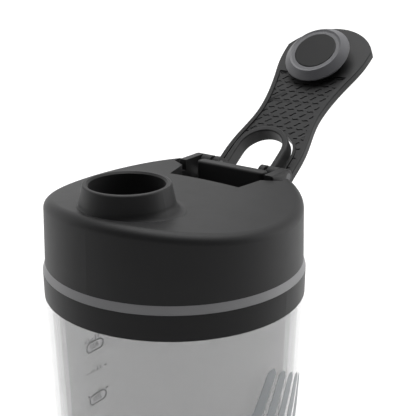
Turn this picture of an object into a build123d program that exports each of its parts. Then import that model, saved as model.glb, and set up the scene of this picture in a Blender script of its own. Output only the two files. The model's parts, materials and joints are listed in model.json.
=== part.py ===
from build123d import *
import math
import os

"""Double-walled protein shaker bottle with a screw lid, a flip arm that shuts the spout and a carry loop.

Row frame: origin at the centre of the foot pad's underside, +Z up, spout towards -Y, hinge pins along X.
The flip arm and the carry loop are drawn open, which is where the joints read zero.
All sizes are in millimetres.
"""

# ---------------------------------------------------------------- driving sizes: bottle
BODY_R = 44.0          # largest radius, at the seam between bottle and lid
BODY_H = 143.0         # foot to seam
WALL_TAPER = 1.5       # degrees, the outer wall narrows towards the base
OUTER_WALL = 2.0
AIR_GAP = 2.2          # between the outer wall and the inner cup
INNER_WALL = 1.6
CUP_FLOOR = 2.4
CUP_LIFT = 10.0        # underside of the inner cup's floor above the foot
CUP_CORNER = 6.0       # outside corner radius of the inner cup
FLANGE_T = 2.0         # flange of the inner cup that hangs on the outer wall
COLLAR_H = 8.4
COLLAR_WALL = 0.9
COLLAR_LIP = 2.6
BASE_TOP = 9.0
BASE_WALL = 2.2
BASE_SPIGOT_H = 3.0
BASE_SPIGOT_W = 1.5
BASE_FLOOR = 2.4
FOOT_R = 33.0
FOOT_T = 2.0
FOOT_PROUD = 1.0       # how far the foot pad stands below the base cap

NECK_H = 11.0          # neck above the seam
NECK_WALL = 2.0
THREAD_PITCH = 5.0
THREAD_DEPTH = 1.2
THREAD_ROOT = 2.2
THREAD_CREST = 1.0
THREAD_SINK = 0.3      # how far a thread is rooted in its wall
THREAD_START = 2.8     # centre of the neck thread's foot above the seam
NECK_TURNS = 1.25
LINER_TURNS = 0.85

# ---------------------------------------------------------------- driving sizes: prints
PRINT_T = 0.12
SCALE_STEP = 21.8      # height of 100 ml in the inner cup
SCALE_MARKS = 4
PILL_W = 9.0
PILL_H = 3.8
STROKE = 0.4
BAR_COUNT = 5          # slanted bars of the side graphic
BAR_W = 4.2
BAR_PITCH = 7.4
BAR_LEAN = 24.0
BAR_H = 46.0
BAR_SHRINK = 7.0       # each bar is this much shorter than the one before
GRAPHIC_Z = 97.0

# ---------------------------------------------------------------- driving sizes: lid
TRIM_H = 2.8
TRIM_STEP = 0.8        # the lid is this much narrower than the bottle
LID_WALL = 1.9
LID_TAPER = 1.2        # how much the lid narrows over twice its height
LID_SHOULDER_R = 3.2
SPIGOT_W = 0.65
SPIGOT_H = 1.8
LINER_FOOT = 0.6       # underside of the liner's skirt above the seam
LINER_WALL = 1.5
LINER_PLATE = 1.8
LINER_LEDGE = 0.4      # how far the lid shell rests on the liner's plate
CHIMNEY_WALL = 2.1
CHIMNEY_H = 9.5        # liner's chimney above its plate, inside the spout
BOSS_H = 3.0
BOSS_WALL = 1.2
GASKET_T = 1.8
GASKET_W = 2.6
DECK_MID = 24.4        # height of the deck's middle above the seam
DECK_RISE = 2.6        # how much the deck climbs towards spout and hinge
DECK_FALL = 2.9        # how much it drops towards the two sides
DECK_T = 2.0

SPOUT_INSET = 20.5     # spout axis inside the bottle's largest radius
SPOUT_TOP = 33.3       # spout rim above the seam
SPOUT_R = 13.8
SPOUT_WALL = 1.8
SPOUT_LEAN = 1.2       # extra radius of the cone at the deck
SPOUT_FLARE_R = 3.4    # radius of the flare that runs out into the deck
SPOUT_RIM_R = 0.6

POCKET_HALF = 14.5     # finger pocket in the deck, in front of the hinge
POCKET_FRONT = 16.3
POCKET_BACK = 26.4
POCKET_FLOOR = 18.2    # above the seam
POCKET_WALL = 1.6
SHELF_HALF = 23.0      # lowered shelf beside the hinge ears
SHELF_Y = 30.0
SHELF_Z = 22.4

# ---------------------------------------------------------------- driving sizes: hinge, arm, loop
PIN_R = 1.5
PIN_INSET = 4.6        # hinge axis inside the bottle's largest radius
PIN_Z = 23.4           # hinge axis above the seam
KNUCKLE_R = 2.8
EAR_T = 3.4
EAR_DEPTH = 9.0        # how far the ears reach forward from the hinge axis
BAR_TOP = 25.8         # guard bar in front of the hinge, above the seam
BAR_HALF = 14.5
BAR_DEPTH = 4.4
BAR_EDGE_R = 0.8
OPEN_ANGLE = 137.5     # from shut to the open stop

ARM_T = 3.2
ARM_LIFT = 6.0         # arm's underside off the hinge axis
ARM_TILT = 8.0         # degrees the shut arm climbs towards the spout
ARM_START = 3.2        # hinge axis to the arm's root edge
ARM_ROOT_HALF = 16.4
ARM_ROOT_LONG = 8.0    # straight stretch of the arm's sides at the root
ARM_WAIST_HALF = 13.4
ARM_NECK_HALF = 16.4    # where the waist has opened out under the disc
ARM_HEAD_HALF = 19.0
ARM_WAIST_BACK = 28.9  # from the spout axis back towards the hinge
ARM_NECK_BACK = 7.9
ARM_HEAD_OUT = 9.6     # from the spout axis on towards the tip
ARM_TIP_OUT = 21.3
ARM_EDGE_R = 0.5       # rounding of the arm's and the loop's long edges
ARM_RIM_W = 2.0
PANEL_T = 0.9
PANEL_BACK = 5.9       # end of the panel, under the disc, back from the spout axis
PANEL_SINK = 0.5       # how far the panel's face lies below the arm's rim
ARM_LEG_WALL = 4.1
LEG_LAP = 0.6          # how far a leg laps into its plate

LOOP_HALF = 11.0
LOOP_WALL = 2.2
LOOP_LONG = 24.0       # hinge axis to the far side of the loop
LOOP_UNDER = 3.6       # how far the loop stands proud of the arm's underside
LOOP_SUNK = 1.2        # loop's back below the arm's back
LOOP_GAP = 0.9         # loop to the arm's cut-out

SEAL_LAP = 1.2         # how far the seal reaches beyond the spout's bore
SEAL_CONE_W = 2.7
SEAL_CREASE_W = 0.8
SEAL_H = 2.6           # cone of the seal
SEAL_BACK = 1.3
SEAL_DISH = 0.3
SEAL_LAND = 2.1        # flat of the seal between its cone and the plug
POST_RIM = 1.2         # how far the post reaches beyond the plug
PLUG_PROUD = 0.2

# ---------------------------------------------------------------- driving sizes: mixing grid
GRID_DROP = 4.2        # grid's underside below the liner's plate
GRID_T = 1.8
GRID_RING_W = 1.7
GRID_INSET = 1.0       # space between the boss and the neck
GRID_BAR = 1.6
GRID_CELL = 7.4

# ---------------------------------------------------------------- fits
RUN = 0.1              # radial clearance of pieces that turn or slide on each other
PIN_FIT = 0.06
SIDE_PLAY = 0.35       # sideways gap between hinge pieces
SEAT_GAP = 0.12        # seal cone to spout rim when shut
SNUG = 0.05            # clearance of pressed or snapped pieces
THREAD_GAP = 0.45      # crest of one thread to the root of the other

# ---------------------------------------------------------------- derived sizes
SEAM = BODY_H
COLLAR_FOOT = SEAM - COLLAR_H
FLANGE_TOP = SEAM - COLLAR_LIP
FLANGE_FOOT = FLANGE_TOP - FLANGE_T
LID_R = BODY_R - TRIM_STEP
LID_FOOT = SEAM + TRIM_H
LID_IR = LID_R - LID_WALL
LINER_OR = LID_IR - SNUG
LINER_IR = LINER_OR - LINER_WALL
NECK_R = LINER_IR - THREAD_DEPTH - THREAD_GAP    # outside of the neck, between threads
NECK_IR = NECK_R - NECK_WALL
NECK_TOP = SEAM + NECK_H
GASKET_Z = NECK_TOP + RUN
PLATE_Z = GASKET_Z + GASKET_T + RUN
PLATE_TOP = PLATE_Z + LINER_PLATE
SPOUT_Y = BODY_R - SPOUT_INSET
SPOUT_BORE = SPOUT_R - SPOUT_WALL
SPOUT_RIM = SEAM + SPOUT_TOP
CHIMNEY_R = SPOUT_BORE - SNUG
GRID_R = NECK_IR - BOSS_WALL - RUN - GRID_INSET
PIN_Y = BODY_R - PIN_INSET
PIN = Vector(0, PIN_Y, SEAM + PIN_Z)
HINGE = Axis(PIN, Vector(1, 0, 0))
NOTCH_HALF = ARM_ROOT_HALF + SIDE_PLAY
DISC_AT = PIN_Y + SPOUT_Y       # spout axis from the hinge axis, along the arm
ARM_WAIST_AT = DISC_AT - ARM_WAIST_BACK
ARM_NECK_AT = DISC_AT - ARM_NECK_BACK
ARM_HEAD_AT = DISC_AT + ARM_HEAD_OUT
ARM_TIP = DISC_AT + ARM_TIP_OUT
PANEL_END = DISC_AT - PANEL_BACK
SEAL_R = SPOUT_BORE + SEAL_LAP
SEAL_FACE_R = SEAL_R - SEAL_CONE_W
PLUG_R = SEAL_FACE_R - SEAL_LAND
POST_R = PLUG_R + POST_RIM
SEAL_Z = SPOUT_RIM + (SEAL_R - SPOUT_BORE - SPOUT_RIM_R) * SEAL_H / (SEAL_R - SEAL_FACE_R) + SEAT_GAP
HIGH = SEAM + 3 * SPOUT_TOP     # well above everything on the lid


def wall_r(z):
    """Outside radius of the bottle's outer wall at height z."""
    return BODY_R - 0.1 - (COLLAR_FOOT - z) * math.tan(math.radians(WALL_TAPER))


def cup_r(z):
    """Outside radius of the inner cup at height z."""
    return wall_r(z) - OUTER_WALL - AIR_GAP


def turned(*points):
    """Solid of revolution about Z from (radius, height) corners."""
    return revolve(Plane.XZ * make_face(Polyline(*points, close=True)), Axis.Z)


def ring(r_in, r_out, z0, z1):
    """Plain ring about the bottle axis."""
    return Pos(0, 0, z0) * extrude(Circle(r_out) - Circle(r_in), z1 - z0)


def disc(r, z0, z1, y=0.0):
    """Plain disc on an axis parallel to the bottle's."""
    return Pos(0, y, z0) * extrude(Circle(r), z1 - z0)


def block(x, y, z):
    """Box from three (low, high) pairs."""
    sizes = [hi - lo for lo, hi in (x, y, z)]
    return Pos(x[0], y[0], z[0]) * Box(*sizes, align=(Align.MIN, Align.MIN, Align.MIN))


def thread(radius, turns, z0, outward):
    """Helical rib on a cylinder of this radius, sunk a little into its wall."""
    sign = 1 if outward else -1
    root, crest = THREAD_ROOT / 2, THREAD_CREST / 2
    flank = (root - crest) / THREAD_DEPTH
    profile = Polyline(
        (-sign * THREAD_SINK, -root - flank * THREAD_SINK),
        (sign * THREAD_DEPTH, -crest),
        (sign * THREAD_DEPTH, crest),
        (-sign * THREAD_SINK, root + flank * THREAD_SINK),
        close=True,
    )
    helix = Helix(THREAD_PITCH, THREAD_PITCH * turns, radius, center=(0, 0, z0))
    section = Plane(origin=(radius, 0, z0), x_dir=(1, 0, 0), z_dir=(0, -1, 0)) * make_face(profile)
    return sweep(section, path=helix, is_frenet=True)


def deck_skin(drop=0.0):
    """Saddle-shaped skin of the lid's deck: high at spout and hinge, low at the sides."""
    reach, steps = BODY_R * 1.2, 8
    rows = []
    for i in range(steps + 1):
        x = reach * (2 * i / steps - 1)
        ys = [reach * (2 * j / steps - 1) for j in range(steps + 1)]
        saddle = [DECK_RISE * (y / BODY_R) ** 2 - DECK_FALL * (x / BODY_R) ** 2 for y in ys]
        rows.append([Vector(x, y, SEAM + DECK_MID + s - drop) for y, s in zip(ys, saddle)])
    return Face.make_surface_from_array_of_points(rows)


def under(solid, skin):
    """The part of a solid that lies under a skin."""
    halves = split(solid, bisect_by=skin, keep=Keep.BOTH).solids()
    return halves.sort_by(Axis.Z)[0]


def hinge_plane():
    """Plane of the shut arm: x along the object's X, y along the arm from hinge to tip."""
    tilt = math.radians(ARM_TILT)
    return Plane(origin=PIN, x_dir=(-1, 0, 0), z_dir=(0, math.sin(tilt), math.cos(tilt)))


def opened(shape):
    """Turn a shape drawn shut into the open rest position."""
    return shape.rotate(HINGE, -OPEN_ANGLE)


# ---------------------------------------------------------------- bottle
def outer_shell():
    rebate = BODY_R - COLLAR_WALL - SNUG
    foot, top = BASE_TOP, FLANGE_FOOT
    return turned(
        (wall_r(foot) - OUTER_WALL, foot), (wall_r(foot), foot), (wall_r(COLLAR_FOOT), COLLAR_FOOT),
        (rebate, COLLAR_FOOT), (rebate, top), (wall_r(top) - OUTER_WALL, top),
    )


def inner_cup():
    floor = CUP_LIFT + CUP_FLOOR
    flange_r = BODY_R - COLLAR_WALL - SNUG
    outside = turned(
        (0, CUP_LIFT), (cup_r(CUP_LIFT), CUP_LIFT), (cup_r(FLANGE_FOOT), FLANGE_FOOT),
        (flange_r, FLANGE_FOOT), (flange_r, FLANGE_TOP), (NECK_R, FLANGE_TOP),
        (NECK_R, NECK_TOP), (0, NECK_TOP),
    )
    outside = fillet(outside.edges().group_by(Axis.Z)[0], CUP_CORNER)
    throat = FLANGE_FOOT - 3.0
    inside = turned(
        (0, floor), (cup_r(floor) - INNER_WALL, floor), (cup_r(throat) - INNER_WALL, throat),
        (NECK_IR, FLANGE_TOP), (NECK_IR, HIGH), (0, HIGH),
    )
    inside = fillet(inside.edges().group_by(Axis.Z)[0], CUP_CORNER - INNER_WALL)
    cup = outside - inside
    lip = cup.edges().group_by(Axis.Z)[-1]
    return chamfer(lip, NECK_WALL / 5) + thread(NECK_R, NECK_TURNS, SEAM + THREAD_START, True)


def collar_ring():
    inner = BODY_R - COLLAR_WALL
    return turned(
        (inner, COLLAR_FOOT), (wall_r(COLLAR_FOOT), COLLAR_FOOT), (BODY_R, SEAM),
        (NECK_R + RUN, SEAM), (NECK_R + RUN, FLANGE_TOP), (inner, FLANGE_TOP),
    )


def base_cap():
    spigot = wall_r(BASE_TOP) - OUTER_WALL - SNUG
    floor = FOOT_PROUD + BASE_FLOOR
    top = BASE_TOP + BASE_SPIGOT_H
    cap = turned(
        (0, FOOT_PROUD), (wall_r(FOOT_PROUD), FOOT_PROUD), (wall_r(BASE_TOP), BASE_TOP), (spigot, BASE_TOP),
        (spigot, top), (spigot - BASE_SPIGOT_W, top), (spigot - BASE_SPIGOT_W, floor), (0, floor),
    )
    rim = [e for e in cap.edges().group_by(Axis.Z)[0] if e.radius > FOOT_R]
    return fillet(rim, BASE_WALL) - disc(FOOT_R + SNUG, 0, FOOT_T)


def foot_pad():
    pad = disc(FOOT_R, 0, FOOT_T)
    return chamfer(pad.edges().group_by(Axis.Z)[0], FOOT_PROUD / 3)


def wall_print(shapes, radius_at, side):
    """Thin print on a tapered wall: flat shapes in (across, height), wrapped on the +X or -X side."""
    low, high = BASE_TOP, COLLAR_FOOT
    skin = turned(
        (radius_at(low), low), (radius_at(low) + PRINT_T, low),
        (radius_at(high) + PRINT_T, high), (radius_at(high), high),
    )
    stamp = extrude(Plane(origin=(0, 0, 0), x_dir=(0, side, 0), z_dir=(side, 0, 0)) * shapes, BODY_R * 2)
    return skin & stamp


def fill_scale():
    """Rounded frames for the millilitre numbers, each with a dash above for the ounces."""
    shapes = Sketch()
    for mark in range(1, SCALE_MARKS + 1):
        z = CUP_LIFT + CUP_FLOOR + mark * SCALE_STEP
        frame = SlotOverall(PILL_W, PILL_H) - SlotOverall(PILL_W - 2 * STROKE, PILL_H - 2 * STROKE)
        dash = Pos(0, PILL_H) * Rectangle(PILL_H, STROKE)
        shapes += Pos(0, z) * (frame + dash)
    return wall_print(shapes, cup_r, -1)


def side_graphic():
    """Plain motif of slanted bars that grow shorter from one side to the other."""
    shapes = Sketch()
    for i in range(BAR_COUNT):
        length = BAR_H - i * BAR_SHRINK
        across = (i - (BAR_COUNT - 1) / 2) * BAR_PITCH
        shapes += Pos(across, GRAPHIC_Z) * Rot(0, 0, -BAR_LEAN) * SlotOverall(length, BAR_W, rotation=90)
    return wall_print(shapes, wall_r, 1)


# ---------------------------------------------------------------- lid
def lid_gasket():
    outer = LINER_IR - RUN
    return ring(outer - GASKET_W, outer, GASKET_Z, GASKET_Z + GASKET_T)


def lid_liner():
    skirt = ring(LINER_IR, LINER_OR, SEAM + LINER_FOOT, PLATE_Z)
    plate = disc(LINER_OR, PLATE_Z, PLATE_TOP)
    boss = ring(GRID_R + RUN, GRID_R + RUN + BOSS_WALL, PLATE_Z - BOSS_H, PLATE_Z)
    chimney = disc(CHIMNEY_R, PLATE_TOP, PLATE_TOP + CHIMNEY_H, -SPOUT_Y)
    bore = disc(CHIMNEY_R - CHIMNEY_WALL, SEAM, HIGH, -SPOUT_Y)
    rib = thread(LINER_IR, LINER_TURNS, SEAM + THREAD_START + THREAD_PITCH / 2, False)
    return skirt + plate + boss + chimney - bore + rib


def trim_ring():
    inner = LID_IR + SPIGOT_W + SNUG
    return turned(
        (inner, SEAM + RUN), (BODY_R, SEAM + RUN), (LID_R, LID_FOOT), (inner, LID_FOOT),
    )


def spout_body():
    """Outside of the spout: a cone that flares out into the deck."""
    foot, flare = SEAM + DECK_MID, SPOUT_FLARE_R
    cone_r = SPOUT_R + SPOUT_LEAN
    flank = [
        Line((0, PLATE_TOP), (cone_r, PLATE_TOP)), Line((cone_r, PLATE_TOP), (cone_r + flare, foot)),
        RadiusArc((cone_r + flare, foot), (cone_r, foot + flare), flare),
        Line((cone_r, foot + flare), (SPOUT_R, SPOUT_RIM)),
        Line((SPOUT_R, SPOUT_RIM), (0, SPOUT_RIM)), Line((0, SPOUT_RIM), (0, PLATE_TOP)),
    ]
    cone = revolve(Plane.XZ * make_face(flank), Axis.Z)
    return Pos(0, -SPOUT_Y, 0) * fillet(cone.edges().group_by(Axis.Z)[-1], SPOUT_RIM_R)


def spout_hole():
    """Bore of the spout, with the chamfer that the seal sits on."""
    edge = SPOUT_BORE + SPOUT_RIM_R
    return Pos(0, -SPOUT_Y, 0) * turned(
        (0, SEAM), (SPOUT_BORE, SEAM), (SPOUT_BORE, SPOUT_RIM - SPOUT_RIM_R),
        (edge, SPOUT_RIM), (edge, HIGH), (0, HIGH),
    )


def notch(grow=0.0):
    """Finger pocket in front of the hinge, open to the rear where the arm and the loop turn."""
    half, front = POCKET_HALF + grow, POCKET_FRONT - grow
    side = NOTCH_HALF + grow
    outline = Polyline(
        (-half, front), (half, front), (side, POCKET_BACK), (side, BODY_R * 1.5),
        (-side, BODY_R * 1.5), (-side, POCKET_BACK), close=True,
    )
    floor = SEAM + POCKET_FLOOR - grow
    return Pos(0, 0, floor) * extrude(make_face(outline), HIGH - floor)


def shelf():
    """Lowered corner on each side of the hinge ears."""
    outline = Polyline(
        (-NOTCH_HALF, POCKET_BACK), (NOTCH_HALF, POCKET_BACK), (SHELF_HALF, SHELF_Y),
        (SHELF_HALF, BODY_R * 1.5),
        (-SHELF_HALF, BODY_R * 1.5), (-SHELF_HALF, SHELF_Y), close=True,
    )
    floor = SEAM + SHELF_Z
    return Pos(0, 0, floor) * extrude(make_face(outline), HIGH - floor)


def ear():
    """Ear beside the notch that holds one hinge pin."""
    front, low = PIN_Y - EAR_DEPTH, SEAM + POCKET_FLOOR
    top = PIN.Z + KNUCKLE_R
    boss = Pos(PIN_Y, PIN.Z) * Circle(KNUCKLE_R)
    root = Pos(front, (low + top) / 2) * Rectangle(EAR_T, top - low)
    side = Plane.YZ * make_hull([*boss.edges(), *root.edges()])
    one = Pos(NOTCH_HALF, 0, 0) * extrude(side, EAR_T)
    return fillet(one.edges().filter_by(Plane.YZ).group_by(Axis.X)[-1], EAR_T / 4)


def lid_shell():
    top = SEAM + 2 * DECK_MID
    top_r = LID_R - LID_TAPER
    section = Polyline((0, LID_FOOT), (LID_R, LID_FOOT), (top_r, top), (0, top), close=True)
    drum = revolve(Plane.XZ * make_face(section), Axis.Z, revolution_arc=180)
    half = under(Rot(0, 0, -90) * drum, deck_skin())
    high = [e for e in half.edges() if e.bounding_box().min.Z > SEAM + DECK_MID / 2]
    rim = [e for e in high if e.bounding_box().max.X > LID_WALL]
    half = half.fillet(LID_SHOULDER_R, rim) - shelf() + ear() - notch()
    shell = half + mirror(half, Plane.YZ) + spout_body()

    cave = turned((0, PLATE_TOP), (LINER_OR - LINER_LEDGE, PLATE_TOP), (top_r - LID_WALL, top), (0, top))
    hollow = under(cave, deck_skin(DECK_T + LID_SHOULDER_R / 4))
    hollow -= notch(POCKET_WALL)
    side = SHELF_HALF + POCKET_WALL
    hollow -= block((-side, side), (POCKET_BACK - POCKET_WALL, BODY_R), (SEAM + SHELF_Z - POCKET_WALL, HIGH))
    hollow -= disc(SPOUT_BORE + SPOUT_WALL, PLATE_TOP, HIGH, -SPOUT_Y)
    hollow += disc(LID_IR, LID_FOOT, PLATE_TOP)
    spigot = ring(LID_IR, LID_IR + SPIGOT_W, LID_FOOT - SPIGOT_H, LID_FOOT)
    shell = shell - hollow + spigot - spout_hole()
    hole = Plane.YZ * Pos(PIN_Y, PIN.Z) * Circle(PIN_R)
    return shell - extrude(hole, BODY_R, both=True)


def hinge_guard():
    """Cross bar that stands in front of the arm's root."""
    back = PIN_Y - KNUCKLE_R - SIDE_PLAY * 2
    low = SEAM + POCKET_FLOOR
    bar = block((-BAR_HALF, BAR_HALF), (back - BAR_DEPTH, back), (low, SEAM + BAR_TOP))
    bar = fillet(bar.edges().filter_by(Axis.Z), BAR_DEPTH / 2.3)
    return fillet(bar.edges().group_by(Axis.Z)[-1], BAR_EDGE_R)


def hinge_pins():
    """Two stub pins, one through each ear into the arm's leg and the loop's leg."""
    inner = LOOP_HALF - LOOP_WALL
    pin = Plane.YZ * Pos(PIN_Y, PIN.Z) * Circle(PIN_R)
    one = Pos(inner, 0, 0) * extrude(pin, NOTCH_HALF + EAR_T - inner)
    return Compound(children=[*one.solids(), *mirror(one, Plane.YZ).solids()])


# ---------------------------------------------------------------- flip arm
def arm_outline(inset=0.0, start=ARM_START):
    """Waisted outline of the arm with a broad, sharp-cornered head."""
    root, waist, head = ARM_ROOT_HALF - inset, ARM_WAIST_HALF - inset, ARM_HEAD_HALF - inset
    bend = ARM_START + ARM_ROOT_LONG
    neck = ARM_NECK_HALF - inset
    right = Spline((root, bend), (waist, ARM_WAIST_AT), (neck, ARM_NECK_AT), (head, ARM_HEAD_AT),
                   tangents=[(0, 1), (0, 1)])
    tip = ThreePointArc((head, ARM_HEAD_AT), (0, ARM_TIP - inset), (-head, ARM_HEAD_AT))
    left = mirror(right, Plane.YZ)
    sides = [Line((root, start), (root, bend)), Line((-root, start), (-root, bend))]
    return make_face([right, tip, left, *sides, Line((-root, start), (root, start))])


def loop_outline(grow=0.0):
    """Arch of the carry loop, straight at the hinge and round at the far side."""
    half, far = LOOP_HALF + grow, LOOP_LONG + grow
    straight = far - half
    return Pos(0, straight / 2) * Rectangle(2 * half, straight) + Pos(0, straight) * Circle(half)


def legs(inner, outer, low, high):
    """Pair of legs that join a plate to its knuckles: low and high are the plate's faces off the axis."""
    side = Plane(origin=PIN, x_dir=hinge_plane().y_dir, z_dir=(-1, 0, 0))
    plate = Pos(ARM_START + LEG_LAP / 2, (low + high) / 2) * Rectangle(LEG_LAP, high - low)
    web = make_hull([*Circle(KNUCKLE_R).edges(), *plate.edges()])
    one = Pos(-inner, 0, 0) * extrude(side * web, outer - inner)
    hole = Plane.YZ * Pos(PIN_Y, PIN.Z) * Circle(PIN_R + PIN_FIT)
    pair = one + mirror(one, Plane.YZ)
    return pair - extrude(hole, BODY_R, both=True)


def long_edges(plate):
    """Edges round the two faces of a plate drawn flat."""
    return plate.edges().group_by(Axis.Z)[0] + plate.edges().group_by(Axis.Z)[-1]


def flip_arm():
    plane = hinge_plane()
    cut = plane * extrude(loop_outline(LOOP_GAP), BODY_R)
    plate = extrude(arm_outline(), ARM_T)
    plate = plane.offset(ARM_LIFT) * fillet(long_edges(plate), ARM_EDGE_R)
    sunk = plane.offset(ARM_LIFT) * extrude(panel_face(), PANEL_T + PANEL_SINK)
    slot = Pos(0, -BODY_R / 2) * Rectangle(2 * (LOOP_HALF + LOOP_GAP), BODY_R)
    plate = plate - cut - plane * extrude(slot, BODY_R) - sunk
    return opened(plate + legs(ARM_ROOT_HALF - ARM_LEG_WALL, ARM_ROOT_HALF, ARM_LIFT, ARM_LIFT + ARM_T))


def panel_face():
    """Outline of the textured panel, inside the arm's rim and clear of the loop and the post."""
    inner = arm_outline(ARM_RIM_W, ARM_START + ARM_ROOT_LONG / 2)
    stretch = Pos(0, PANEL_END / 2) * Rectangle(ARM_TIP, PANEL_END)
    return (inner & stretch) - loop_outline(LOOP_GAP + ARM_RIM_W / 2)


def grip_panel():
    plane = hinge_plane()
    panel = plane.offset(ARM_LIFT + PANEL_SINK) * extrude(panel_face(), PANEL_T)
    return opened(panel - disc(POST_R, SEAM, HIGH, -SPOUT_Y))


def stopper_post():
    column = disc(POST_R, SEAL_Z + SEAL_BACK, HIGH, -SPOUT_Y)
    return opened(split(column, bisect_by=hinge_plane().offset(ARM_LIFT), keep=Keep.BOTTOM))


def stopper_seal():
    face = SEAL_Z - SEAL_H
    dish = face + SEAL_DISH
    profile = Polyline(
        (PLUG_R, SEAL_Z + SEAL_BACK), (SEAL_R - SEAL_BACK / 2, SEAL_Z + SEAL_BACK),
        (SEAL_R, SEAL_Z + SEAL_BACK / 3), (SEAL_R, SEAL_Z), (SEAL_FACE_R, face),
        (SEAL_FACE_R - SEAL_CREASE_W, dish), (PLUG_R, dish), close=True,
    )
    return opened(Pos(0, -SPOUT_Y, 0) * revolve(Plane.XZ * make_face(profile), Axis.Z))


def stopper_plug():
    plug = disc(PLUG_R, SEAL_Z - SEAL_H + SEAL_DISH - PLUG_PROUD, SEAL_Z + SEAL_BACK, -SPOUT_Y)
    return opened(fillet(plug.edges().group_by(Axis.Z)[0], PLUG_PROUD * 2))


def carry_loop():
    plane = hinge_plane()
    low, high = ARM_LIFT - LOOP_UNDER, ARM_LIFT + ARM_T - LOOP_SUNK
    band = extrude(loop_outline() - loop_outline(-LOOP_WALL), high - low)
    arch = plane.offset(low) * fillet(long_edges(band), ARM_EDGE_R)
    arch -= plane * extrude(Rectangle(4 * LOOP_HALF, 2 * ARM_START), BODY_R)
    return opened(arch + legs(LOOP_HALF - LOOP_WALL, LOOP_HALF, low, high))


# ---------------------------------------------------------------- mixing grid
def mixing_grid():
    low = PLATE_Z - GRID_DROP
    rim = ring(GRID_R - GRID_RING_W, GRID_R, low, PLATE_Z - RUN)
    bars = Sketch()
    count = int(GRID_R / GRID_CELL)
    for i in range(-count, count + 1):
        bars += Pos(i * GRID_CELL, 0) * Rectangle(GRID_BAR, 2 * GRID_R)
        bars += Pos(0, i * GRID_CELL) * Rectangle(2 * GRID_R, GRID_BAR)
    bars = bars & Circle(GRID_R - GRID_RING_W / 2)
    return rim + Pos(0, 0, low) * extrude(bars, GRID_T)


NODES = [
    outer_shell, inner_cup, collar_ring, base_cap, foot_pad, fill_scale, side_graphic,
    lid_gasket, lid_liner, trim_ring, lid_shell, hinge_guard, hinge_pins,
    flip_arm, grip_panel, stopper_post, stopper_seal, stopper_plug, carry_loop, mixing_grid,
]

os.makedirs("parts", exist_ok=True)
for make in NODES:
    export_step(make(), f"parts/{make.__name__}.step")
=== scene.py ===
import math

import bmesh
import bpy
import json
from mathutils import Matrix, Vector


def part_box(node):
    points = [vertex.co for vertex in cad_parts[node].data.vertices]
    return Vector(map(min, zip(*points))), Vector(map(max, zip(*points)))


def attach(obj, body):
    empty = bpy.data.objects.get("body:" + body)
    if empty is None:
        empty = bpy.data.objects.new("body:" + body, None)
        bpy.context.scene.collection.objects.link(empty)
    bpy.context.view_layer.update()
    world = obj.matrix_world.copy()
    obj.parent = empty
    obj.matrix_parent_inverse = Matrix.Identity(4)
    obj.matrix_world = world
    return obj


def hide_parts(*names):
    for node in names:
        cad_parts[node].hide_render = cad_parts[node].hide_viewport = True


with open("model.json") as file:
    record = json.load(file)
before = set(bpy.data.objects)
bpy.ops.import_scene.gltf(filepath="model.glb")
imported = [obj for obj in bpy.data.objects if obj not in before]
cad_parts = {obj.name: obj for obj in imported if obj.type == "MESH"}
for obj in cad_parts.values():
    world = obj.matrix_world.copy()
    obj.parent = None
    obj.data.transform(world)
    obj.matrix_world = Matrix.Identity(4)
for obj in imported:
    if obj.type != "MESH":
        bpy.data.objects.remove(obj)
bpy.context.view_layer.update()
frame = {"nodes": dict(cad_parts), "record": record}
MM = 0.001


# ---------------------------------------------------------------- foot pad
# The real foot is a thin disc of grey rubber pressed into the base cap. It keeps a matt, slightly dusty
# skin from the mould. The grain, smudge and material helpers that every later section uses start here.

def shader_group(name, inputs, outputs):
    """Empty shader node group with named float or colour sockets."""
    group = bpy.data.node_groups.new(name, "ShaderNodeTree")
    for label, kind, default in inputs:
        socket = group.interface.new_socket(name=label, in_out="INPUT", socket_type="NodeSocket" + kind)
        socket.default_value = default
    for label, kind in outputs:
        group.interface.new_socket(name=label, in_out="OUTPUT", socket_type="NodeSocket" + kind)
    return group, group.nodes.new("NodeGroupInput"), group.nodes.new("NodeGroupOutput")


def math_node(tree, operation, first, second):
    """Math node fed by two sockets or numbers."""
    node = tree.nodes.new("ShaderNodeMath")
    node.operation = operation
    for socket, value in zip(node.inputs, (first, second)):
        if isinstance(value, (int, float)):
            socket.default_value = value
        else:
            tree.links.new(value, socket)
    return node.outputs[0]


def noise_node(tree, scale, detail, roughness):
    """Noise in object space, so that it stays with the piece."""
    place = tree.nodes.new("ShaderNodeTexCoord")
    noise = tree.nodes.new("ShaderNodeTexNoise")
    noise.inputs["Detail"].default_value = detail
    noise.inputs["Roughness"].default_value = roughness
    tree.links.new(place.outputs["Object"], noise.inputs["Vector"])
    if isinstance(scale, (int, float)):
        noise.inputs["Scale"].default_value = scale
    else:
        tree.links.new(scale, noise.inputs["Scale"])
    return noise.outputs["Fac"]


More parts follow.
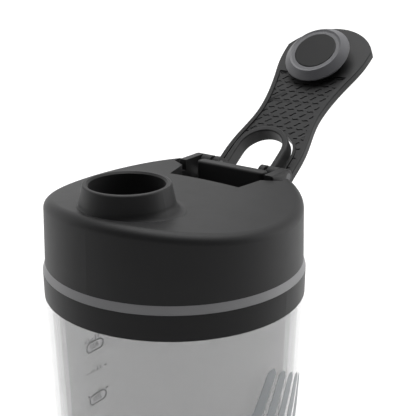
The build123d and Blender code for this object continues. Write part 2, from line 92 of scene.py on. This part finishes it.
def make_moulded_skin():
    """Spark-eroded mould grain with faint flow mottle and handling smudges."""
    group, source, result = shader_group(
        "moulded_skin",
        [
            ("Colour", "Color", (0.05, 0.05, 0.05, 1)), ("Mottle", "Float", 0.15),
            ("Grain Scale", "Float", 4000.0), ("Roughness", "Float", 0.5),
            ("Smudge", "Float", 0.08), ("Grain Depth", "Float", 1.0),
        ],
        [("Colour", "Color"), ("Roughness", "Float"), ("Height", "Float")],
    )
    grain = noise_node(group, source.outputs["Grain Scale"], 3.0, 0.6)
    flow = noise_node(group, 45.0, 2.0, 0.5)
    smudge = noise_node(group, 120.0, 4.0, 0.65)
    mixed = math_node(group, "ADD", flow, math_node(group, "MULTIPLY", grain, 0.5))
    shift = math_node(group, "SUBTRACT", mixed, 0.75)
    gain = math_node(group, "ADD", math_node(group, "MULTIPLY", shift, source.outputs["Mottle"]), 1.0)
    tint = group.nodes.new("ShaderNodeVectorMath")
    tint.operation = "SCALE"
    group.links.new(source.outputs["Colour"], tint.inputs[0])
    group.links.new(gain, tint.inputs["Scale"])
    group.links.new(tint.outputs["Vector"], result.inputs["Colour"])
    swing = math_node(group, "MULTIPLY", math_node(group, "SUBTRACT", smudge, 0.5), source.outputs["Smudge"])
    group.links.new(math_node(group, "ADD", source.outputs["Roughness"], swing), result.inputs["Roughness"])
    height = math_node(group, "MULTIPLY", grain, source.outputs["Grain Depth"])
    group.links.new(height, result.inputs["Height"])
    return group


moulded_skin = make_moulded_skin()


def moulded(name, colour, roughness, mottle=0.15, grain_scale=4000.0, smudge=0.08, bump=0.12, **fixed):
    """Opaque moulded plastic or rubber; fixed gives plain values for the shader's own sockets."""
    material = bpy.data.materials.new(name)
    material.use_nodes = True
    tree = material.node_tree
    shader = tree.nodes["Principled BSDF"]
    skin = tree.nodes.new("ShaderNodeGroup")
    skin.node_tree = moulded_skin
    skin.inputs["Colour"].default_value = (*colour, 1)
    skin.inputs["Mottle"].default_value = mottle
    skin.inputs["Grain Scale"].default_value = grain_scale
    skin.inputs["Roughness"].default_value = roughness
    skin.inputs["Smudge"].default_value = smudge
    relief = tree.nodes.new("ShaderNodeBump")
    relief.inputs["Strength"].default_value = bump
    relief.inputs["Distance"].default_value = 0.05 * MM
    tree.links.new(skin.outputs["Colour"], shader.inputs["Base Color"])
    tree.links.new(skin.outputs["Roughness"], shader.inputs["Roughness"])
    tree.links.new(skin.outputs["Height"], relief.inputs["Height"])
    tree.links.new(relief.outputs["Normal"], shader.inputs["Normal"])
    for socket, value in fixed.items():
        shader.inputs[socket.replace("_", " ")].default_value = value
    return material


def dress(node, material):
    """Give a CAD node its material."""
    piece = frame["nodes"][node]
    piece.data.materials.clear()
    piece.data.materials.append(material)
    return piece


dress("foot_pad", moulded("foot_rubber", (0.16, 0.16, 0.165), 0.75, mottle=0.3, grain_scale=2500.0, bump=0.3))


# ---------------------------------------------------------------- base cap
# A black polypropylene cup that closes the outer wall from below. It is injection moulded with a fine
# satin texture and snaps into the outer wall by a spigot.
black_satin = moulded("black_satin", (0.009, 0.009, 0.0095), 0.42, mottle=0.2, Specular_IOR_Level=0.18)
dress("base_cap", black_satin)


# ---------------------------------------------------------------- outer shell
# The outer wall is a clear, hard copolyester tube, blow moulded and polished. It is glossy, with very
# faint waviness and a few hairline marks from handling.
def make_polished_wave():
    """Slow waviness of a blown wall, with fine hairline scuffs."""
    group, source, result = shader_group(
        "polished_wave",
        [("Roughness", "Float", 0.03), ("Scuff", "Float", 0.04), ("Wave", "Float", 1.0)],
        [("Roughness", "Float"), ("Height", "Float")],
    )
    scuff = math_node(group, "POWER", noise_node(group, 260.0, 6.0, 0.7), 3.0)
    added = math_node(group, "MULTIPLY", scuff, source.outputs["Scuff"])
    group.links.new(math_node(group, "ADD", source.outputs["Roughness"], added), result.inputs["Roughness"])
    wave = math_node(group, "MULTIPLY", noise_node(group, 30.0, 1.0, 0.4), source.outputs["Wave"])
    group.links.new(wave, result.inputs["Height"])
    return group


polished_wave = make_polished_wave()


def clear_wall(name, roughness, scuff, bump):
    """Material and shader of a polished wall, without its colour."""
    material = bpy.data.materials.new(name)
    material.use_nodes = True
    tree = material.node_tree
    shader = tree.nodes["Principled BSDF"]
    polish = tree.nodes.new("ShaderNodeGroup")
    polish.node_tree = polished_wave
    polish.inputs["Roughness"].default_value = roughness
    polish.inputs["Scuff"].default_value = scuff
    relief = tree.nodes.new("ShaderNodeBump")
    relief.inputs["Strength"].default_value = bump
    relief.inputs["Distance"].default_value = 0.2 * MM
    tree.links.new(polish.outputs["Roughness"], shader.inputs["Roughness"])
    tree.links.new(polish.outputs["Height"], relief.inputs["Height"])
    tree.links.new(relief.outputs["Normal"], shader.inputs["Normal"])
    return material, shader


shell_clear, shader = clear_wall("shell_clear", 0.06, 0.03, 0.02)
shader.inputs["Base Color"].default_value = (0.26, 0.26, 0.263, 1)
shader.inputs["Alpha"].default_value = 0.24
shader.inputs["Specular IOR Level"].default_value = 0.6
dress("outer_shell", shell_clear)


# ---------------------------------------------------------------- inner cup
# The cup that holds the drink is injection moulded from smoke-grey copolyester. It is see-through, so the
# fill scale on its far side shows through the near side. Its neck carries the screw thread.
cup_smoke, shader = clear_wall("cup_smoke", 0.35, 0.1, 0.02)
shader.inputs["Base Color"].default_value = (0.5, 0.5, 0.505, 1)
shader.inputs["Alpha"].default_value = 0.14
shader.inputs["Specular IOR Level"].default_value = 0.2
dress("inner_cup", cup_smoke)


# ---------------------------------------------------------------- collar ring
# A black moulded ring pressed over the top of the outer wall. It hides the cup's flange and ends flush
# with the wall and the lid's trim.
dress("collar_ring", black_satin)


# ---------------------------------------------------------------- fill scale
# Grey ink, pad printed on the cup's outside: rounded frames with the millilitre numbers, and between
# dashes the ounce numbers. It replaces the plain printed marks of the CAD model.
FRAME_WIDE = 9.0 * MM
FRAME_HIGH = 3.8 * MM
SCALE_STEPS = 3.268     # height of the whole scale in steps of one frame
DASH_FROM = 4.4 * MM
DASH_TO = 5.6 * MM
PRINT_LIFT = 0.06 * MM
PRINT_DEPTH = 0.05 * MM
CAD_PRINT = 0.12 * MM    # thickness of the plain marks that the print replaces
WALL_TAPER = math.radians(1.5)
ML_STEP = 100
ML_PER_OZ = 29.57
TOP_OUNCES = 14
STROKE = 0.55 * MM
NUMBER_SIZE = 3.2 * MM
OUNCE_SIZE = 2.8 * MM

wall_slope = math.tan(WALL_TAPER)
scale_low, scale_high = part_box("fill_scale")


def cup_radius(z):
    """Outside radius of the inner cup at a height."""
    top_mark = scale_high[2]
    return -scale_low[0] - (top_mark - z) * wall_slope - CAD_PRINT


def flat_text(words, size):
    """Mesh of centred lettering in the XY plane."""
    curve = bpy.data.curves.new("number", "FONT")
    curve.body = words
    curve.size = size
    curve.align_x = "CENTER"
    curve.align_y = "CENTER"
    carrier = bpy.data.objects.new("number", curve)
    bpy.context.scene.collection.objects.link(carrier)
    graph = bpy.context.evaluated_depsgraph_get()
    mesh = bpy.data.meshes.new_from_object(carrier.evaluated_get(graph))
    bpy.data.objects.remove(carrier)
    return mesh


def add_text(build, words, size, across, up):
    """Add lettering to a bmesh at a place in the flat print."""
    mesh = flat_text(words, size)
    mesh.transform(Matrix.Translation((across, up, 0)))
    build.from_mesh(mesh)
    bpy.data.meshes.remove(mesh)


def add_stroke(build, points, width, closed=False):
    """Add an inked line of even width along flat points."""
    count = len(points)
    rows = []
    for i, (x, y) in enumerate(points):
        before = points[i - 1] if closed or i > 0 else points[i]
        after = points[(i + 1) % count] if closed or i < count - 1 else points[i]
        along = Vector((after[0] - before[0], after[1] - before[1])).normalized() * (width / 2)
        left = build.verts.new((x - along.y, y + along.x, 0))
        right = build.verts.new((x + along.y, y - along.x, 0))
        rows.append((left, right))
    pairs = list(zip(rows, rows[1:])) + ([(rows[-1], rows[0])] if closed else [])
    for first, second in pairs:
        build.faces.new((first[0], first[1], second[1], second[0]))


def pill(width, height, centre_z, steps=10):
    """Points round a rounded frame."""
    radius = height / 2
    reach = width / 2 - radius
    points = []
    for side in (1, -1):
        for i in range(steps + 1):
            angle = -math.pi / 2 + math.pi * i / steps
            across = side * (reach + radius * math.cos(angle))
            points.append((across, centre_z + side * radius * math.sin(angle)))
    return points


def wrapped(build, name, radius_at, side, depth):
    """Wrap a flat print round the wall on the +X or -X side and give it the thickness of ink."""
    bmesh.ops.triangulate(build, faces=build.faces[:])
    long_edges = [e for e in build.edges if e.calc_length() > 1.2 * MM]
    bmesh.ops.subdivide_edges(build, edges=long_edges, cuts=3)
    for vert in build.verts:
        across, z = vert.co.x, vert.co.y
        radius = radius_at(z) + PRINT_LIFT
        angle = across / radius
        vert.co = (side * radius * math.cos(angle), side * radius * math.sin(angle), z)
    bmesh.ops.recalc_face_normals(build, faces=build.faces[:])
    bmesh.ops.solidify(build, geom=build.faces[:], thickness=depth)
    mesh = bpy.data.meshes.new(name)
    build.to_mesh(mesh)
    build.free()
    piece = bpy.data.objects.new(name, mesh)
    bpy.context.scene.collection.objects.link(piece)
    return piece


def scale_print():
    """The whole fill scale, from 100 ml up, as one print."""
    build = bmesh.new()
    step = (scale_high[2] - scale_low[2]) / SCALE_STEPS
    top_frame = scale_low[2] + FRAME_HIGH / 2 + 3 * step
    zero = top_frame - 4 * step
    for mark in range(1, 5):
        z = zero + mark * step
        add_stroke(build, pill(FRAME_WIDE, FRAME_HIGH, z), STROKE, closed=True)
        add_text(build, str(mark * ML_STEP), NUMBER_SIZE, 0, z)
    for ounces in range(2, TOP_OUNCES + 1, 2):
        z = zero + ounces * ML_PER_OZ / ML_STEP * step
        if abs((z - zero) / step - round((z - zero) / step)) < 0.13:
            z += FRAME_HIGH * 0.85
        add_text(build, f"{ounces} oz", OUNCE_SIZE, 0, z)
        for side in (-1, 1):
            add_stroke(build, [(side * DASH_FROM, z), (side * DASH_TO, z)], STROKE)
    return wrapped(build, "fill_scale_print", cup_radius, -1, PRINT_DEPTH)


scale_ink = moulded("scale_ink", (0.02, 0.02, 0.022), 0.55, mottle=0.5, grain_scale=3000.0)
fill_scale = scale_print()
fill_scale.data.materials.append(scale_ink)
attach(fill_scale, "bottle")
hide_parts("fill_scale")


# ---------------------------------------------------------------- side print
# A plain motif of slanted bars, in cool grey ink. It is screen printed on the outside of the outer wall
# and cured, so it stands slightly proud of it.
dress("side_graphic", moulded("side_ink", (0.25, 0.265, 0.275), 0.45, mottle=0.25, grain_scale=1500.0))


# ---------------------------------------------------------------- gasket, liner and mixing grid
# The liner is the lid's inner part, black polypropylene with the thread and the drinking chimney. A grey
# silicone gasket lies between it and the cup's neck, and the mixing grid clips on its boss.
seal_silicone = moulded(
    "seal_silicone", (0.085, 0.085, 0.092), 0.5, mottle=0.25, grain_scale=3500.0, bump=0.1,
    Sheen_Weight=0.15, Sheen_Roughness=0.4,
)
inner_black = moulded("inner_black", (0.006, 0.006, 0.006), 0.38, mottle=0.2, Specular_IOR_Level=0.2)
dress("lid_gasket", seal_silicone)
dress("lid_liner", inner_black)
dress("mixing_grid", inner_black)


# ---------------------------------------------------------------- trim ring
# A grey moulded ring snapped round the lid's foot. Its outside slopes from the bottle's width to the
# lid's, and it keeps a fine satin texture.
trim_grey = moulded("trim_grey", (0.2, 0.2, 0.205), 0.42, mottle=0.12, bump=0.08, Specular_IOR_Level=0.35)
dress("trim_ring", trim_grey)


# ---------------------------------------------------------------- lid shell and hinge guard
# The lid is one black moulding with a soft-touch skin: fine grain, no gloss, lighter where light grazes it.
# The guard bar is moulded in the same plastic and stands in front of the hinge.
soft_black = moulded("soft_black", (0.011, 0.011, 0.0115), 0.5, mottle=0.18, grain_scale=5000.0, bump=0.14,
                     Specular_IOR_Level=0.24, Sheen_Weight=0.03, Sheen_Roughness=0.5)
dress("lid_shell", soft_black)
dress("hinge_guard", soft_black)


# ---------------------------------------------------------------- hinge pins
# Two stub pins of dark drawn steel, pushed through the ears into the legs of the arm and the loop. They
# are cut from wire and stay hidden in the ears.
dress("hinge_pins", moulded("pin_steel", (0.08, 0.08, 0.082), 0.4, mottle=0.1, Metallic=1.0))


# ---------------------------------------------------------------- flip arm
# The arm is a stiff black moulding in the lid's plastic, with a raised rim round its underside and a
# cut-out at the root for the carry loop.
dress("flip_arm", soft_black)


# ---------------------------------------------------------------- grip panel
# The recessed panel in the arm's underside is moulded with rows of short S-shaped grooves for grip. The
# grooves are cut into the panel's own shape.
DASH_LONG = 2.9 * MM
DASH_WIDE = 0.55 * MM
DASH_BEND = 0.34 * MM
DASH_DEPTH = 0.35 * MM
DASH_LEAN = math.radians(28)
DASH_LEAN_BACK = math.radians(9.8)
DASH_ROW = 2.35 * MM
DASH_COLUMN = 4.3 * MM
DASH_START = 9.0 * MM
DASH_ROWS = 26
DASH_SIDE = 4
ARM_TILT = 8.0           # degrees that the shut arm climbs towards the spout
PANEL_FACE = 6.5 * MM    # panel's face off the hinge axis
WELD = 0.002 * MM

arm_joint = next(j for j in frame["record"]["behaviour"]["joints"] if j["name"] == "arm_flip")
hinge = Vector(arm_joint["pos_m"])
arm_angle = math.radians(180 - ARM_TILT - arm_joint["range_deg"][1])
arm_along = Vector((0, math.cos(arm_angle), math.sin(arm_angle)))
arm_up = Vector((0, math.sin(arm_angle), -math.cos(arm_angle)))


def on_arm(across, along, off):
    """Place on the arm: across it, along it from the hinge, and off the hinge axis."""
    return hinge + Vector((across, 0, 0)) + arm_along * along + arm_up * off


def add_dash(build, across, along, lean):
    """Add one S-shaped groove cutter, standing through the panel's face."""
    steps = 8
    sections = []
    for i in range(steps + 1):
        t = 2 * i / steps - 1
        x, y = DASH_LONG / 2 * t, DASH_BEND * math.sin(math.pi * t)
        slope = math.atan2(DASH_BEND * math.pi * math.cos(math.pi * t), DASH_LONG / 2)
        half = DASH_WIDE / 2 * math.sqrt(max(0.12, 1 - t ** 6))
        corners = []
        for side, off in ((1, -DASH_DEPTH), (-1, -DASH_DEPTH), (-1, DASH_DEPTH), (1, DASH_DEPTH)):
            px = x - side * half * math.sin(slope)
            py = y + side * half * math.cos(slope)
            turned = (px * math.cos(lean) - py * math.sin(lean), px * math.sin(lean) + py * math.cos(lean))
            corners.append(build.verts.new(on_arm(across + turned[0], along + turned[1], PANEL_FACE + off)))
        sections.append(corners)
    for first, second in zip(sections, sections[1:]):
        for i in range(4):
            build.faces.new((first[i], first[(i + 1) % 4], second[(i + 1) % 4], second[i]))
    build.faces.new(sections[0][::-1])
    build.faces.new(sections[-1])


def groove_cutters():
    """All grooves, in rows that lean to alternate sides."""
    build = bmesh.new()
    for row in range(DASH_ROWS):
        along = DASH_START + row * DASH_ROW
        lean = DASH_LEAN if row % 2 else -DASH_LEAN_BACK
        for column in range(-DASH_SIDE, DASH_SIDE + 1):
            across = (column + 0.5 * (row % 2)) * DASH_COLUMN
            add_dash(build, across, along, lean)
    bmesh.ops.recalc_face_normals(build, faces=build.faces[:])
    mesh = bpy.data.meshes.new("groove_cutters")
    build.to_mesh(mesh)
    build.free()
    piece = bpy.data.objects.new("groove_cutters", mesh)
    bpy.context.scene.collection.objects.link(piece)
    return piece


def grooved_panel():
    """The panel with its grooves cut."""
    mesh = frame["nodes"]["grip_panel"].data.copy()
    build = bmesh.new()
    build.from_mesh(mesh)
    bmesh.ops.remove_doubles(build, verts=build.verts[:], dist=WELD)
    build.to_mesh(mesh)
    build.free()
    panel = bpy.data.objects.new("grip_panel_grooved", mesh)
    bpy.context.scene.collection.objects.link(panel)
    cutters = groove_cutters()
    cut = panel.modifiers.new("grooves", "BOOLEAN")
    cut.operation = "DIFFERENCE"
    cut.solver = "EXACT"
    cut.object = cutters
    graph = bpy.context.evaluated_depsgraph_get()
    carved = bpy.data.meshes.new_from_object(panel.evaluated_get(graph))
    panel.modifiers.clear()
    panel.data = carved
    bpy.data.objects.remove(cutters)
    return panel


panel = grooved_panel()
panel.data.materials.clear()
panel.data.materials.append(soft_black)
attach(panel, "flip_arm")
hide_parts("grip_panel")


# ---------------------------------------------------------------- stopper
# A black post under the arm's head carries a grey silicone ring with a sloping edge, held by a black plug
# pressed into its middle. The sloping edge seals on the spout's rim.
dress("stopper_post", black_satin)
dress("stopper_seal", seal_silicone)
plug_black = moulded(
    "plug_black", (0.009, 0.009, 0.0095), 0.5, mottle=0.2, grain_scale=3000.0, Specular_IOR_Level=0.2,
)
dress("stopper_plug", plug_black)


# ---------------------------------------------------------------- carry loop
# A stiff black hoop on the same pins as the arm. It lies in the arm's cut-out and stands a little proud of
# the arm's underside.
dress("carry_loop", soft_black)


# ---------------------------------------------------------------- studio
# A white sweep under and behind the bottle with a painted glow, strong far behind it and fading out towards
# the camera; soft boxes on both sides and above, and a darker front.
CAMERA_AZIMUTH = math.radians(38.0)
RING_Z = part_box("collar_ring")[1][2]
CAMERA_OUT = 286.3 * MM
CAMERA_RISE = 113.56 * MM
to_camera = Vector((math.sin(CAMERA_AZIMUTH), -math.cos(CAMERA_AZIMUTH), 0))

world = bpy.data.worlds.new("studio")
bpy.context.scene.world = world
world.use_nodes = True
tree = world.node_tree
sky = tree.nodes["Background"]
direction = tree.nodes.new("ShaderNodeTexCoord")
facing = tree.nodes.new("ShaderNodeVectorMath")
facing.operation = "DOT_PRODUCT"
facing.inputs[1].default_value = to_camera + Vector((0, 0, 0.15))
tree.links.new(direction.outputs["Generated"], facing.inputs[0])
falloff = tree.nodes.new("ShaderNodeMapRange")
falloff.inputs["From Min"].default_value = -0.8
falloff.inputs["From Max"].default_value = 0.6
falloff.inputs["To Min"].default_value = 1.0
falloff.inputs["To Max"].default_value = 0.05
tree.links.new(facing.outputs["Value"], falloff.inputs["Value"])
tree.links.new(falloff.outputs["Result"], sky.inputs["Strength"])
sky.inputs["Color"].default_value = (1, 1, 1, 1)


def soft_box(name, place, target, width, height, power):
    """Area light aimed at a point."""
    light = bpy.data.lights.new(name, "AREA")
    light.shape = "RECTANGLE"
    light.size = width
    light.size_y = height
    light.energy = power
    carrier = bpy.data.objects.new(name, light)
    carrier.location = place
    carrier.rotation_euler = (Vector(target) - Vector(place)).to_track_quat("-Z", "Y").to_euler()
    bpy.context.scene.collection.objects.link(carrier)


to_right = Vector((math.cos(CAMERA_AZIMUTH), math.sin(CAMERA_AZIMUTH), 0))
middle = Vector((0, 0, RING_Z))
soft_box("top_box", middle + Vector((0, 0.1, 0.9)), middle, 0.9, 0.9, 10.5)
soft_box("right_box", middle + to_right * 0.8 - to_camera * 0.1 + Vector((0, 0, 0.15)), middle, 0.5, 0.8, 2.5)
soft_box("left_box", middle - to_right * 0.8 - to_camera * 0.25 + Vector((0, 0, 0.15)), middle, 0.3, 0.8, 0.8)

floor_mesh = bpy.data.meshes.new("floor")
FLOOR_REACH = 6.0
corners = [(x * FLOOR_REACH, y * FLOOR_REACH, 0) for x, y in ((-1, -1), (1, -1), (1, 1), (-1, 1))]
floor_mesh.from_pydata(corners, [], [(0, 1, 2, 3)])
floor = bpy.data.objects.new("floor", floor_mesh)
bpy.context.scene.collection.objects.link(floor)
floor_paint = bpy.data.materials.new("floor_paint")
floor_paint.use_nodes = True
floor_shader = floor_paint.node_tree.nodes["Principled BSDF"]
floor_shader.inputs["Base Color"].default_value = (0.8, 0.8, 0.8, 1)
floor_shader.inputs["Roughness"].default_value = 0.9
floor_shader.inputs["Emission Color"].default_value = (1, 1, 1, 1)
floor_tree = floor_paint.node_tree
floor_place = floor_tree.nodes.new("ShaderNodeTexCoord")
sweep = floor_tree.nodes.new("ShaderNodeVectorMath")
sweep.operation = "DOT_PRODUCT"
sweep.inputs[1].default_value = to_camera
floor_tree.links.new(floor_place.outputs["Object"], sweep.inputs[0])
# Painted glow: the floor emits light of its own, strongest far behind the bottle and fading to nothing in
# front of it, standing in for a lit white backdrop.
painted_glow_fade = floor_tree.nodes.new("ShaderNodeMapRange")
painted_glow_fade.inputs["From Min"].default_value = -1.5
painted_glow_fade.inputs["From Max"].default_value = 0.3
painted_glow_fade.inputs["To Min"].default_value = 0.8
painted_glow_fade.inputs["To Max"].default_value = 0.0
floor_tree.links.new(sweep.outputs["Value"], painted_glow_fade.inputs["Value"])
floor_tree.links.new(painted_glow_fade.outputs["Result"], floor_shader.inputs["Emission Strength"])
floor_mesh.materials.append(floor_paint)

camera_data = bpy.data.cameras.new("camera")
camera_data.lens = 78.7
camera_data.sensor_width = 36.0
camera = bpy.data.objects.new("camera", camera_data)
camera.matrix_world = Matrix((
    (0.8113, -0.1845, 0.5548, to_camera.x * CAMERA_OUT),
    (0.5847, 0.2548, -0.7702, to_camera.y * CAMERA_OUT),
    (0.0007, 0.9492, 0.3146, RING_Z + CAMERA_RISE),
    (0, 0, 0, 1),
))
bpy.context.scene.collection.objects.link(camera)
bpy.context.scene.camera = camera
bpy.context.scene.view_settings.view_transform = "Standard"
